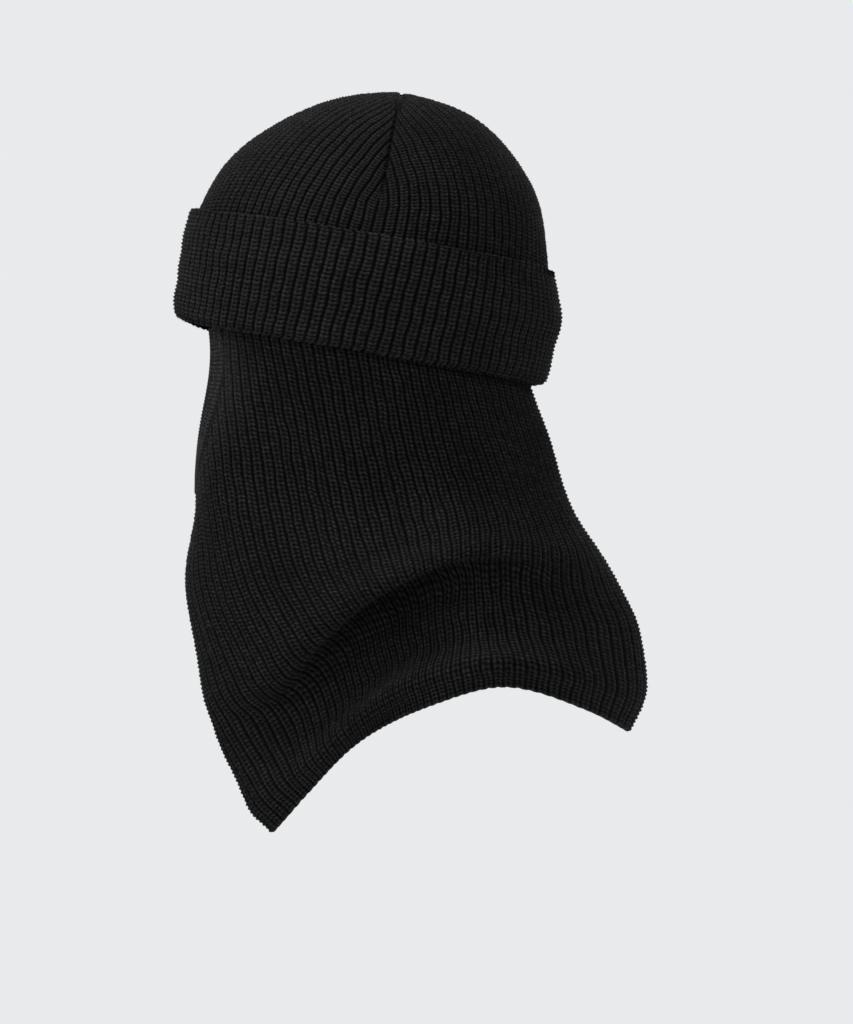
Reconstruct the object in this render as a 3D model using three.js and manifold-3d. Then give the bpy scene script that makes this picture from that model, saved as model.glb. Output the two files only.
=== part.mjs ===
// Knitted balaclava: a ribbed cap with four crown darts and a turned-up cuff, and a ribbed cape
// that frames the face, hangs around the neck and lies on the shoulders with one soft fold.
//
// Millimetres, +Z up. The wearer looks along -Y and the wearer's left side is +X. The garment is
// symmetric about the plane X = 0. The origin is the centre of the cuff, where it grips the head.

import * as THREE from 'three';
import { mergeVertices } from 'three/addons/utils/BufferGeometryUtils.js';
import Module from 'manifold-3d';

// ---- driving dimensions ------------------------------------------------------------------

const KNIT = 4;                // thickness of one layer of rib knit
const GAP = 0.4;               // clearance between two pieces that touch
const AROUND = 60;             // facets around the head
const TILT = THREE.MathUtils.degToRad(9.5);   // the cap is worn brow up, nape down

const CAP_FRONT = 104;         // from the darts at the sides forward to the brow, outside the knit
const CAP_BACK = 100.5;        // from there back to the nape
const CAP_WIDTH = 85;          // half the cap's size side to side
const CAP_MIDDLE = -2;         // where the side darts lie, front to back
const CAP_EGG = 0.06;          // how much wider the back of the head is than the brow
const DOME_BASE = 20;          // height at which the dome starts to close
const DOME_HEIGHT = 98.5;      // from there to the crown point
const BROW_SLOPE = 1.25;       // above 1, the dome falls away early: in front it slopes to the brow
const NAPE_SLOPE = 0.87;       // below 1, it stays full: at the back it is round
const CROWN_POINT = DOME_BASE + DOME_HEIGHT;
const BROW_TAPER = 0.04;       // how much the brow draws in for each unit below the dome
const CAP_EDGE = -28;          // lower edge of the cap, hidden inside the cuff

const CUFF_TOP = 33;
const CUFF_BOTTOM = -34;
const CUFF_LINING_GAP = 1;     // space between the cap and the cuff turned up over it
const CUFF_MIDDLE = -1;
const CUFF_REACH = 110;        // half its size front to back, before the shaping below
const CUFF_ASPECT = 0.845;     // width over depth
const CUFF_LIFT = 4.5;         // how far its lower edge rises over the middle of the brow

const DART_START = 62;         // height at which each dart begins
const DART_CLEAR = 6;          // how far from the crown point it stops
const SEAM_WIDTH = 3;
const SEAM_THICKNESS = 1.8;
const JOIN_SEAM_HEIGHT = 3.4;

const OPENING_CENTRE = -42;    // middle of the face opening
const OPENING_HALF_WIDTH = 46;
const OPENING_HALF_HEIGHT = 62;
const TRIM_WIDTH = 8;
const TRIM_PROUD = 0.9;        // how far the trim stands out from the cape on both faces

const LABEL_HALF_WIDTH = 16;
const LABEL_BOTTOM = -80;
const LABEL_THICKNESS = 0.8;

const CAPE_INSET = 1.5;        // the cape's top is this much smaller than the cap's edge
const ROWS_PER_LEVEL = 3;
const OPENING_ROWS = 3 * ROWS_PER_LEVEL;      // the face opening ends above this row

// Seven ribs on each side lead the cape, from the middle of the front to the middle of the back.
// They leave the cap's edge at these angles from the brow.
const CAPE_RIB_ANGLES = [0, 30, 56, 86, 113, 140, 180];

// Each line below is one level of the cape, and gives the place of the seven ribs on it: [out to
// the side, back, up].
const CAPE_LEVELS = {
  jaw: [[0, -99.5, -66], [44, -93, -68], [70, -52, -72], [78, -5, -76], [72, 41, -78],
    [43, 80, -78], [0, 101.5, -76]],
  throat: [[0, -99.4, -116], [46, -88, -118], [69, -44.5, -116], [77, 2.5, -112], [74, 50, -108],
    [47, 90, -108], [0, 112, -108]],
  swell: [[0, -105.5, -165], [50, -80, -166], [77, -35, -156], [87, 10.5, -141], [87, 57, -128],
    [58, 99, -128], [0, 121, -129]],
  foldRidge: [[0, -97, -222], [53, -60, -219], [84, -20, -186], [99, 19, -161], [98, 61, -146],
    [70, 106, -147], [0, 136, -151]],
  foldTuck: [[0, -91, -244], [41, -50, -234], [63, -12, -196], [73, 24, -170], [86, 64, -157],
    [67, 110, -160], [0, 146, -169]],
  drop: [[0, -83, -264], [42, -44, -251], [64, -8, -216], [77, 27, -188], [90, 67, -178],
    [68, 115, -181], [0, 154.5, -190]],
  hemRoll: [[0, -71, -289], [47, -39, -268], [76, -5, -238], [93, 28, -209], [105, 73, -204],
    [80, 121, -208], [0, 159.5, -222]],
  hemEdge: [[0, -57, -305], [39, -33, -279], [70, -3, -249], [90, 31, -230], [101, 75, -218.5],
    [73, 121, -231], [0, 149, -247]],
};
const CAPE_ROWS = ROWS_PER_LEVEL * Object.keys(CAPE_LEVELS).length;

// ---- materials ---------------------------------------------------------------------------

const knit = new THREE.MeshStandardMaterial({ color: 0x1b1b1c, roughness: 0.95, metalness: 0 });
const trimKnit = new THREE.MeshStandardMaterial({ color: 0x18181a, roughness: 0.92, metalness: 0 });
const thread = new THREE.MeshStandardMaterial({ color: 0x121213, roughness: 0.8, metalness: 0 });
const labelTape = new THREE.MeshStandardMaterial({ color: 0x2a2a2c, roughness: 0.6, metalness: 0 });

// ---- solids from rings of points ---------------------------------------------------------

const wasm = await Module();
wasm.setup();

function signedVolume(geometry) {
  const position = geometry.getAttribute('position');
  const corner = [new THREE.Vector3(), new THREE.Vector3(), new THREE.Vector3()];
  let volume = 0;
  for (let i = 0; i < geometry.index.count; i += 3) {
    corner.forEach((point, j) => point.fromBufferAttribute(position, geometry.index.getX(i + j)));
    volume += corner[0].dot(corner[1].cross(corner[2])) / 6;
  }
  return volume;
}

function facesOut(geometry) {
  if (signedVolume(geometry) < 0) {
    const index = geometry.index;
    for (let i = 0; i < index.count; i += 3) {
      const second = index.getX(i + 1);
      index.setX(i + 1, index.getX(i + 2));
      index.setX(i + 2, second);
    }
  }
  return geometry;
}

// Joins rings of equal length into one closed skin. With closed set, the last ring meets the
// first, as in a tube with a wall; otherwise each end is drawn together to a point.
function skin(rings, closed) {
  const count = rings[0].length;
  const points = rings.flat();
  const triangles = [];
  const last = closed ? rings.length : rings.length - 1;
  for (let r = 0; r < last; r += 1) {
    const here = r * count;
    const next = ((r + 1) % rings.length) * count;
    for (let k = 0; k < count; k += 1) {
      const turn = (k + 1) % count;
      triangles.push(here + k, here + turn, next + turn, here + k, next + turn, next + k);
    }
  }
  if (!closed) {
    closeEnd(points, triangles, rings[0], 0, true);
    closeEnd(points, triangles, rings.at(-1), (rings.length - 1) * count, false);
  }
  const geometry = new THREE.BufferGeometry().setFromPoints(points);
  geometry.setIndex(triangles);
  return facesOut(geometry);
}

function closeEnd(points, triangles, ring, start, reversed) {
  const middle = new THREE.Vector3();
  ring.forEach((point) => middle.addScaledVector(point, 1 / ring.length));
  points.push(middle);
  for (let k = 0; k < ring.length; k += 1) {
    const turn = (k + 1) % ring.length;
    const pair = reversed ? [start + turn, start + k] : [start + k, start + turn];
    triangles.push(pair[0], pair[1], points.length - 1);
  }
}

function solid(geometry) {
  const bare = geometry.clone();
  bare.deleteAttribute('normal');
  bare.deleteAttribute('uv');
  const merged = mergeVertices(bare, 1e-4);
  return new wasm.Manifold(new wasm.Mesh({
    numProp: 3,
    vertProperties: new Float32Array(merged.getAttribute('position').array),
    triVerts: new Uint32Array(merged.index.array),
  }));
}

function fromSolid(shape) {
  const mesh = shape.getMesh();
  const geometry = new THREE.BufferGeometry();
  geometry.setAttribute('position', new THREE.BufferAttribute(mesh.vertProperties, 3));
  geometry.setIndex(new THREE.BufferAttribute(mesh.triVerts, 1));
  return geometry;
}

function block(low, high) {
  const size = high.map((value, axis) => value - low[axis]);
  const box = new THREE.BoxGeometry(...size);
  return solid(box.translate(...low.map((value, axis) => value + size[axis] / 2)));
}

function named(name, geometry, material) {
  geometry.computeVertexNormals();
  const mesh = new THREE.Mesh(geometry, material);
  mesh.name = name;
  return mesh;
}

// ---- the cap: upright in its own frame, tilted as a group --------------------------------

function aroundAngle(k) {
  return (k / AROUND) * 2 * Math.PI;
}

function capPoint(angle, height, scale, inset) {
  const forward = Math.cos(angle);
  const front = CAP_FRONT - BROW_TAPER * Math.max(0, DOME_BASE - height);
  const reach = forward > 0
    ? (front - inset) * scale ** BROW_SLOPE
    : (CAP_BACK - inset) * scale ** NAPE_SLOPE;
  return new THREE.Vector3(
    (CAP_WIDTH - inset) * scale * Math.sin(angle) * (1 - CAP_EGG * forward),
    CAP_MIDDLE - reach * forward,
    height,
  );
}

function capRing(height, scale, inset) {
  return Array.from({ length: AROUND }, (_, k) => capPoint(aroundAngle(k), height, scale, inset));
}

// Rings of the cap's skin, moved in by inset, from a lower edge up to the crown point.
function capSkin(inset, edge) {
  const rings = [edge, (edge + DOME_BASE) / 2].map((height) => capRing(height, 1, inset));
  const steps = 10;
  for (let step = 0; step < steps; step += 1) {
    const angle = (Math.PI / 2) * (step / steps) ** 0.9;
    const height = DOME_BASE + (DOME_HEIGHT - inset) * Math.sin(angle);
    rings.push(capRing(height, Math.cos(angle), inset));
  }
  return rings;
}

function capLayer(outer, inner, edge) {
  return skin([...capSkin(outer, edge).reverse(), ...capSkin(inner, edge)], false);
}

// A dart's linked seam stands inside the cap along one of its four quarters.
function dartSeam(quarter) {
  const layer = solid(capLayer(KNIT + GAP, KNIT + GAP + SEAM_THICKNESS, CAP_EDGE));
  const half = SEAM_WIDTH / 2;
  const reach = CAP_FRONT + 20;
  const [fore, aft] = [CAP_MIDDLE - half, CAP_MIDDLE + half];
  const regions = {
    front: block([-half, -reach, DART_START], [half, CAP_MIDDLE - DART_CLEAR, CROWN_POINT]),
    left: block([DART_CLEAR, fore, DART_START], [reach, aft, CROWN_POINT]),
    back: block([-half, CAP_MIDDLE + DART_CLEAR, DART_START], [half, reach, CROWN_POINT]),
    right: block([-reach, fore, DART_START], [-DART_CLEAR, aft, CROWN_POINT]),
  };
  return fromSolid(layer.intersect(regions[quarter]));
}

// The outside of the cuff, as [height, forward from its middle, back from it]: it stands straight
// at the brow, and bulges a little at the nape before it leans in to its top edge.
const CUFF_OUTSIDE = [
  [CUFF_BOTTOM + 2, 107.3, 107.5],
  [CUFF_BOTTOM + 6, 109.2, 109.4],
  [-12, 110, 110],
  [6, 110.6, 111.4],
  [20, 110.4, 107],
  [CUFF_TOP - 2.5, 109, 103.5],
];

function cuffRing(height, front, back) {
  const width = (CUFF_ASPECT * (front + back)) / 2;
  return Array.from({ length: AROUND }, (_, k) => {
    const forward = Math.cos(aroundAngle(k));
    const side = Math.sin(aroundAngle(k)) * (1 - CAP_EGG * forward);
    const shaping = (forward > 0 ? front : back) - CUFF_REACH;
    const reach = CUFF_REACH + shaping * forward ** 2;
    return new THREE.Vector3(width * side, CUFF_MIDDLE - reach * forward, height);
  });
}

function cuff() {
  const rings = CUFF_OUTSIDE.map((row) => cuffRing(...row));
  const lining = (height, away) => {
    const scale = Math.sqrt(1 - Math.max(0, (height - DOME_BASE) / DOME_HEIGHT) ** 2);
    return capRing(height, scale, -CUFF_LINING_GAP - away);
  };
  rings.push(lining(CUFF_TOP, 2), lining(CUFF_TOP - 2, 0), lining(DOME_BASE, 0));
  rings.push(lining(CUFF_BOTTOM + 4, 0), lining(CUFF_BOTTOM + 1, 0.6), lining(CUFF_BOTTOM, 1.8));
  for (const ring of rings) {
    ring.forEach((point, k) => {
      const low = (CUFF_TOP - point.z) / (CUFF_TOP - CUFF_BOTTOM);
      point.z += CUFF_LIFT * low * Math.max(0, Math.cos(aroundAngle(k))) ** 8;
    });
  }
  return skin(rings, true);
}

function joinSeam() {
  const low = CAP_EDGE + 0.2;
  const high = low + JOIN_SEAM_HEIGHT;
  const outer = KNIT + GAP;
  const inner = outer + SEAM_THICKNESS;
  return skin([[low, outer], [high, outer], [high, inner], [low, inner]]
    .map(([height, inset]) => capRing(height, 1, inset)), true);
}

// ---- the cape ----------------------------------------------------------------------------

function tilted(point) {
  return point.clone().applyAxisAngle(new THREE.Vector3(1, 0, 0), -TILT);
}

function levelRing(level) {
  const half = level.map(([side, back, up]) => new THREE.Vector3(side, back, up));
  const mirrored = half.slice(1, -1).reverse().map((p) => new THREE.Vector3(-p.x, p.y, p.z));
  const curve = new THREE.CatmullRomCurve3([...half, ...mirrored], true, 'catmullrom', 0.5);
  return Array.from({ length: AROUND }, (_, k) => curve.getPoint(k / AROUND));
}

// The angle from the brow at which a rib leaves the cap's edge.
function ribAngle(k) {
  const place = (k / AROUND) * 12;
  const near = Math.min(place, 12 - place);
  const before = Math.min(Math.floor(near), 5);
  const angle = THREE.MathUtils.lerp(CAPE_RIB_ANGLES[before], CAPE_RIB_ANGLES[before + 1], near - before);
  return THREE.MathUtils.degToRad(place > 6 ? 360 - angle : angle);
}

// Rows of the cape's outside, from its top edge to the hem: each level is one of them.
function capeRows() {
  const top = Array.from({ length: AROUND },
    (_, k) => tilted(capPoint(ribAngle(k), CAP_EDGE - GAP, 1, CAPE_INSET)));
  const levels = [top, ...Object.values(CAPE_LEVELS).map(levelRing)];
  const ribs = top.map((_, k) => {
    const line = levels.map((ring) => ring[k]);
    return new THREE.CatmullRomCurve3(line, false, 'catmullrom', 0.5).getPoints(CAPE_ROWS);
  });
  return Array.from({ length: CAPE_ROWS + 1 }, (_, row) => ribs.map((rib) => rib[row]));
}

function outwardNormals(rows) {
  const down = new THREE.Vector3();
  const along = new THREE.Vector3();
  return rows.map((row, r) => row.map((point, k) => {
    const below = rows[Math.min(r + 1, rows.length - 1)][k];
    const above = rows[Math.max(r - 1, 0)][k];
    down.subVectors(below, above);
    along.subVectors(row[(k + 1) % AROUND], row[(k + AROUND - 1) % AROUND]);
    return new THREE.Vector3().crossVectors(down, along).normalize();
  }));
}

const CAPE_SKIN = capeRows();
const CAPE_NORMALS = outwardNormals(CAPE_SKIN);

// The cape's top edge lies in the plane of the cap's edge, at every depth in the knit.
function capeSkin(inset) {
  const plane = tilted(new THREE.Vector3(0, 0, 1));
  return CAPE_SKIN.map((row, r) => row.map((point, k) => {
    const normal = CAPE_NORMALS[r][k].clone();
    if (r === 0) {
      normal.addScaledVector(plane, -normal.dot(plane)).normalize();
    }
    return point.clone().addScaledVector(normal, -inset);
  }));
}

function capeLayer(outer, inner, rows = CAPE_ROWS) {
  const outside = capeSkin(outer).slice(0, rows + 1);
  const inside = capeSkin(inner).slice(0, rows + 1);
  return solid(skin([...outside, ...inside.reverse()], true));
}

// A straight oval bar through the front, wider than the face opening by a margin.
function openingBar(margin) {
  const oval = new THREE.Shape();
  oval.absellipse(0, OPENING_CENTRE, OPENING_HALF_WIDTH + margin, OPENING_HALF_HEIGHT + margin, 0,
    2 * Math.PI);
  const front = -150;
  const depth = 110;
  const bar = new THREE.ExtrudeGeometry(oval, { depth, bevelEnabled: false, curveSegments: 20 });
  bar.rotateX(Math.PI / 2);
  return solid(bar.translate(0, front + depth, 0));
}

function cape() {
  return fromSolid(capeLayer(0, KNIT).subtract(openingBar(TRIM_WIDTH + GAP)));
}

function openingTrim() {
  const layer = capeLayer(-TRIM_PROUD, KNIT + TRIM_PROUD, OPENING_ROWS);
  return fromSolid(layer.intersect(openingBar(TRIM_WIDTH)).subtract(openingBar(0)));
}

function trimSeam() {
  const depth = KNIT + TRIM_PROUD + GAP;
  const layer = capeLayer(depth, depth + SEAM_THICKNESS, OPENING_ROWS);
  const half = SEAM_WIDTH / 2;
  return fromSolid(layer.intersect(openingBar(TRIM_WIDTH + half)).subtract(openingBar(TRIM_WIDTH - half)));
}

function backSeam() {
  const layer = capeLayer(KNIT + GAP, KNIT + GAP + SEAM_THICKNESS);
  const half = SEAM_WIDTH / 2;
  return fromSolid(layer.intersect(block([-half, 0, -400], [half, 300, 100])));
}

function careLabel() {
  const depth = KNIT + 2 * GAP + SEAM_THICKNESS;
  const layer = capeLayer(depth, depth + LABEL_THICKNESS, OPENING_ROWS);
  return fromSolid(layer.intersect(
    block([-LABEL_HALF_WIDTH, 0, LABEL_BOTTOM], [LABEL_HALF_WIDTH, 300, 100]),
  ));
}

// ---- assembly ----------------------------------------------------------------------------

const cap = new THREE.Group();
cap.rotation.x = -TILT;
cap.add(named('crown', capLayer(0, KNIT, CAP_EDGE), knit));
cap.add(named('cuff', cuff(), knit));
cap.add(named('join_seam', joinSeam(), thread));
for (const quarter of ['front', 'left', 'back', 'right']) {
  cap.add(named(`dart_seam_${quarter}`, dartSeam(quarter), thread));
}

const balaclava = new THREE.Group();
balaclava.add(cap);
balaclava.add(named('cape', cape(), knit));
balaclava.add(named('opening_trim', openingTrim(), trimKnit));
balaclava.add(named('trim_seam', trimSeam(), thread));
balaclava.add(named('back_seam', backSeam(), thread));
balaclava.add(named('care_label', careLabel(), labelTape));

export default balaclava;
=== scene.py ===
"""Visual model of a knitted balaclava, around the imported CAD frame.

Every knitted piece is a real mesh of ribs and stitches. A piece's surface is laid out as a grid
whose columns follow the ribs and whose rows follow the courses, and each point is then sunk below
the top of the knit by the depth of the relief there. Lengths are millimetres until a mesh is made.
"""
import math

import bpy
import numpy as np
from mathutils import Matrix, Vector
from mathutils.bvhtree import BVHTree


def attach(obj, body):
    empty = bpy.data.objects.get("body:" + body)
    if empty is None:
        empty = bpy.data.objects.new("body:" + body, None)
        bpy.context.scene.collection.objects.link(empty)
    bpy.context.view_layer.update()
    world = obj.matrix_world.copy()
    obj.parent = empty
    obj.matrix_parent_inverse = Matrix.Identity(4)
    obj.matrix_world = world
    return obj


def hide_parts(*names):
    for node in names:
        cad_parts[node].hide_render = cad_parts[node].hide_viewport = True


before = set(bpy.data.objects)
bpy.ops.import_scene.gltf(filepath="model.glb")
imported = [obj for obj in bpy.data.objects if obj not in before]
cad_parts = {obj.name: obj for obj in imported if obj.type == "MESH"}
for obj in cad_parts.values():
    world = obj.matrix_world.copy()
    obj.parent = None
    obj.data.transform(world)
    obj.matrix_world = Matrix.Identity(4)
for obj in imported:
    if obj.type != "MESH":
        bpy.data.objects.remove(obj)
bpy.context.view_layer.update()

MM = 0.001

# ---- the garment's sizes -----------------------------------------------------------------

TILT = math.radians(9.5)
CAP_FRONT, CAP_BACK, CAP_WIDTH, CAP_MIDDLE, CAP_EGG = 104.0, 100.5, 85.0, -2.0, 0.06
BROW_SLOPE, NAPE_SLOPE, BROW_TAPER = 1.25, 0.87, 0.04
DOME_BASE, DOME_HEIGHT, CAP_EDGE = 20.0, 98.5, -28.0
CUFF_TOP, CUFF_BOTTOM, CUFF_MIDDLE, CUFF_ASPECT, CUFF_REACH = 33.0, -34.0, -1.0, 0.845, 110.0
CUFF_LIFT = 4.5                # how far the cuff's lower edge rises over the middle of the brow
# The cuff's face, from its lower edge up: [height, reach forward, reach back].
CUFF_OUTSIDE = [[-32, 107.3, 107.5], [-28, 109.2, 109.4], [-12, 110, 110], [6, 110.6, 111.4],
                [20, 110.4, 107], [30.5, 109, 103.5]]
# Its lining, from its top down: [height, how far it stands off the cap].
CUFF_LINING = [[33, 2.4], [31.5, 0.4], [20, 0], [-4, 0], [-30, 0], [-33, 0.6], [-34, 1.8]]
GORE_START, DART_START, DART_CLEAR = 50.0, 62.0, 6.0
SWIRL = 0.0008                 # how far ribs lean below the darts: radians for each millimetre
OPENING_CENTRE, OPENING_HALF_WIDTH, OPENING_HALF_HEIGHT = -42.0, 46.0, 62.0
BAND_WIDTH, BAND_PROUD = 8.0, 0.9
LABEL_HALF_WIDTH, LABEL_TOP, LABEL_BOTTOM, LABEL_THICKNESS = 15.5, -48.0, -79.5, 0.7
KNIT = 4.0
GAP = 0.4
SEAM_WIDTH, SEAM_THICKNESS = 3.0, 1.8

# ---- the knit ----------------------------------------------------------------------------

CAP_RIBS = 100
CAPE_RIBS = 96
COURSE = 2.37                  # height of one course on the cap
# The cape's courses: full ones, and short ones that shape it. Those at the top lower its front, and
# those further down, which reach some ribs from the middle, lengthen the front and the back.
FULL_COURSES, TOP_SHORT, SHORT_FROM = 80, 24, 30
FRONT_SHORT, FRONT_REACH, BACK_SHORT, BACK_REACH = 21, 30, 10, 14
ROWS_PER_COURSE = 4
# Where a rib's columns of points lie across it, from -0.5 to 0.5: the lips of the groove, the
# shoulders and tops of its two lines of stitches, and the crease between them.
ACROSS = np.array([-0.46, -0.36, -0.22, -0.07, 0.07, 0.22, 0.36, 0.46])
# Widths across a rib are shares of the rib's own.
GROOVE_DEPTH, GROOVE_WIDTH = 2.2, 0.13
CREASE_DEPTH, CAPE_CREASE, CREASE_WIDTH = 0.7, 1.1, 0.11
STITCH_DEPTH, STITCH_EDGE = 1.15, 0.12
MOST_DEPTH = 2.9               # of the grooves where they meet a dart
SEAM_DEPTH, SEAM_SPREAD = 1.2, 0.9
WOBBLE, WOBBLE_TURNS = 0.4, 34  # how far a rib strays to its sides, and how unlike its neighbours
V_SLOPE = 0.6                  # how far a stitch's leg climbs, in courses per rib width
DEEP = 1.5                     # the relief at which the yarn is in full shade

# How far each stitch lies below its neighbours, for stitches are never all pulled equally tight.
STITCH_TENSION = np.random.default_rng(4).uniform(0, 0.5, (256, 256))

# The cape's levels, from the jaw to the hem: on each, where seven ribs lie from the middle of the
# front to the middle of the back, as [out to the side, back, up], as the CAD has them.
CAPE_RIB_ANGLES = [0, 30, 56, 86, 113, 140, 180]
CAPE_LEVELS = [
    [[0, -99.5, -66], [44, -93, -68], [70, -52, -72], [78, -5, -76], [72, 41, -78], [43, 80, -78],
     [0, 101.5, -76]],
    [[0, -99.4, -116], [46, -88, -118], [69, -44.5, -116], [77, 2.5, -112], [74, 50, -108],
     [47, 90, -108], [0, 112, -108]],
    [[0, -105.5, -165], [50, -80, -166], [77, -35, -156], [87, 10.5, -141], [87, 57, -128],
     [58, 99, -128], [0, 121, -129]],
    [[0, -97, -222], [53, -60, -219], [84, -20, -186], [99, 19, -161], [98, 61, -146],
     [70, 106, -147], [0, 136, -151]],
    [[0, -91, -244], [41, -50, -234], [63, -12, -196], [73, 24, -170], [86, 64, -157],
     [67, 110, -160], [0, 146, -169]],
    [[0, -83, -264], [42, -44, -251], [64, -8, -216], [77, 27, -188], [90, 67, -178],
     [68, 115, -181], [0, 154.5, -190]],
    [[0, -71, -289], [47, -39, -268], [76, -5, -238], [93, 28, -209], [105, 73, -204],
     [80, 121, -208], [0, 159.5, -222]],
    [[0, -57, -305], [39, -33, -279], [70, -3, -249], [90, 31, -230], [101, 75, -218.5],
     [73, 121, -231], [0, 149, -247]],
]
# Lower down the cape has slipped a little way round: how much of that there is at each level, and
# how far it goes: a steady part, then parts that vary once and twice round (cosine and sine).
RIB_SLIDE = [0, 0, 0.1, 0.4, 0.6, 0.75, 0.9, 1]
RIB_SLIP = [0.1, 0.25, -0.1, 0.1, 0.1]
# The fold's ridge and the hollow under it, by distance down from the middle of the cape, and the
# rolled hem and the hollow over it, by distance up from the edge: [how far out, where, how wide].
FOLD = [[2.2, -6, 9], [-7.5, 19, 14]]
HEM_ROLL = [[4.6, 15, 7], [-3.6, 37, 10]]
OUT_OF_STEP = 0.618            # spreads the ends of the short courses evenly


def rib_columns(ribs):
    """The rib coordinate of every column: whole numbers are grooves."""
    return (np.arange(ribs)[:, None] + 0.5 + ACROSS[None]).ravel()


def relief(rib, course, strength=1.0, crease_depth=CREASE_DEPTH):
    """How deep the knit's surface lies below the tops of its stitches."""
    x = rib - np.floor(rib) - 0.5
    from_edge = 0.5 - np.abs(x)
    groove = GROOVE_DEPTH * np.exp(-((from_edge / GROOVE_WIDTH) ** 2))
    crease = crease_depth * np.exp(-((x / CREASE_WIDTH) ** 2))
    lean = course - V_SLOPE * np.abs(x)
    loop = np.abs(np.sin(np.pi * lean)) ** 1.5
    stitch = STITCH_DEPTH * (1 - loop) * (1 - np.exp(-((from_edge / STITCH_EDGE) ** 2)))
    line, number = np.floor(rib).astype(int) * 2 + (x > 0), np.floor(lean).astype(int)
    loose = STITCH_TENSION[line % 256, number % 256]
    return strength * (groove + crease + stitch + np.where(from_edge > 0.1, loose * loop, 0))


def wander(a, b, seed, size=1.0, most_turns=9, least_waves=0.5, most_waves=4.0):
    """A slow, smooth unevenness that repeats once round in a."""
    random = np.random.default_rng(seed)
    total = np.zeros(np.broadcast(a, b).shape)
    for _ in range(7):
        turns = random.integers(1, most_turns)
        waves = random.uniform(least_waves, most_waves)
        phase = random.uniform(0, 2 * np.pi, 2)
        total += np.sin(2 * np.pi * turns * a + phase[0]) * np.sin(2 * np.pi * waves * b + phase[1])
    return size * total / 2.6


# ---- curves and grids --------------------------------------------------------------------


def catmull(points, at, closed):
    """A uniform Catmull-Rom curve through points (first axis), read at parameters at."""
    count = len(points)
    if closed:
        base = np.floor(at).astype(int)
        ids = [(base + k) % count for k in (-1, 0, 1, 2)]
        p0, p1, p2, p3 = (points[i] for i in ids)
    else:
        first = 2 * points[0] - points[1]
        last = 2 * points[-1] - points[-2]
        padded = np.concatenate([first[None], points, last[None]])
        base = np.clip(np.floor(at).astype(int), 0, count - 2)
        p0, p1, p2, p3 = (padded[base + k] for k in range(4))
    t = (at - base).reshape((-1,) + (1,) * (points.ndim - 1))
    return 0.5 * (2 * p1 + (p2 - p0) * t + (2 * p0 - 5 * p1 + 4 * p2 - p3) * t ** 2
                  + (3 * p1 - p0 - 3 * p2 + p3) * t ** 3)


def read_lines(lines, share):
    """Points at a share of the way down each line, from lines (steps, columns, 3)."""
    step = np.linalg.norm(np.diff(lines, axis=0), axis=2)
    length = np.concatenate([np.zeros((1, lines.shape[1])), np.cumsum(step, axis=0)])
    share = np.broadcast_to(share, (len(share), lines.shape[1]))
    out = np.empty(share.shape + (3,))
    for column in range(lines.shape[1]):
        at = share[:, column] * length[-1, column]
        for axis in range(3):
            out[:, column, axis] = np.interp(at, length[:, column], lines[:, column, axis])
    return out


def unit(vectors):
    return vectors / np.maximum(np.linalg.norm(vectors, axis=-1, keepdims=True), 1e-9)


def tilted(points):
    """From the cap's upright frame to the frame it is worn in."""
    out = points.copy()
    c, s = math.cos(TILT), math.sin(TILT)
    out[..., 1] = points[..., 1] * c + points[..., 2] * s
    out[..., 2] = -points[..., 1] * s + points[..., 2] * c
    return out


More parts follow.
